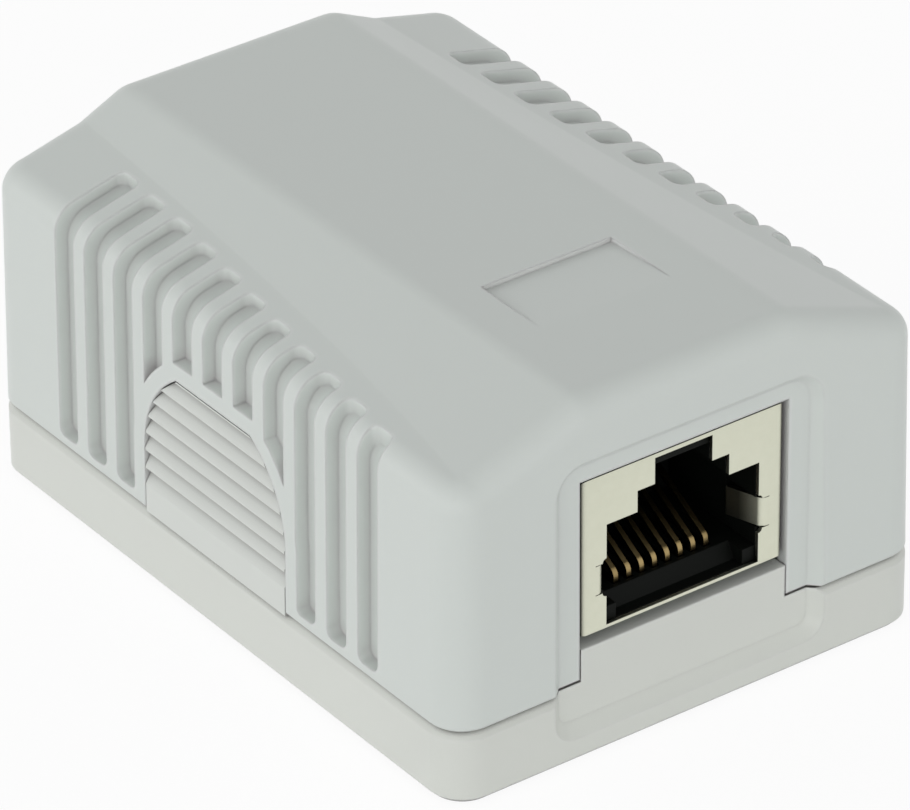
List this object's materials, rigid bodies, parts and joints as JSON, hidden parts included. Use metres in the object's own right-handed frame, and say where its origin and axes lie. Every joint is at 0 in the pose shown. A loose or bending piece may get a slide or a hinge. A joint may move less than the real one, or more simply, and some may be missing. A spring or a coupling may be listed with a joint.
{
  "type": "surface mount jack box",
  "caption": "Small white surface mount box with a ventilated lift-off cover, an arched louvre panel in each side wall and a shielded modular jack set in a shallow frame at the front.",
  "frame": {"origin": "centre of the flat underside of the base, on the wall or desk plane", "axes": "+Z out of the underside through the roof, -Y out of the jack's mouth, +X to the right of someone who looks at the jack"},
  "size_m": [0.0372, 0.0516, 0.026],
  "materials": {
    "cover_plastic": "semi-gloss moulded white ABS",
    "base_plastic": "semi-gloss moulded white ABS, slightly warmer than the cover",
    "louvre_plastic": "semi-gloss moulded white ABS",
    "shield_metal": "pale nickel plated sheet, softly reflecting",
    "jack_plastic": "black moulded plastic",
    "contact_metal": "gold plated spring wire",
    "board_laminate": "green solder mask on laminate",
    "block_plastic": "off-white moulded plastic",
    "terminal_metal": "tin plated spring metal",
    "screw_steel": "zinc plated steel"
  },
  "bodies": {
    "base_body": {"base": "base_plastic", "jack_shield": "shield_metal", "jack_housing": "jack_plastic", "contact_comb": "jack_plastic", "circuit_board": "board_laminate", "terminal_block_left": "block_plastic", "terminal_block_right": "block_plastic", "board_screws": "screw_steel", "contact_1": "contact_metal", "contact_2": "contact_metal", "contact_3": "contact_metal", "contact_4": "contact_metal", "contact_5": "contact_metal", "contact_6": "contact_metal", "contact_7": "contact_metal", "contact_8": "contact_metal", "terminal_1": "terminal_metal", "terminal_2": "terminal_metal", "terminal_3": "terminal_metal", "terminal_4": "terminal_metal", "terminal_5": "terminal_metal", "terminal_6": "terminal_metal", "terminal_7": "terminal_metal", "terminal_8": "terminal_metal"},
    "cover_body": {"cover": "cover_plastic", "louvre_panel_left": "louvre_plastic", "louvre_panel_right": "louvre_plastic"}
  },
  "joints": [
    {"name": "cover_lift", "type": "slide", "parent": "base_body", "child": "cover_body", "axis": [0, 0, 1], "range_m": [0, 0.03]}
  ]
}
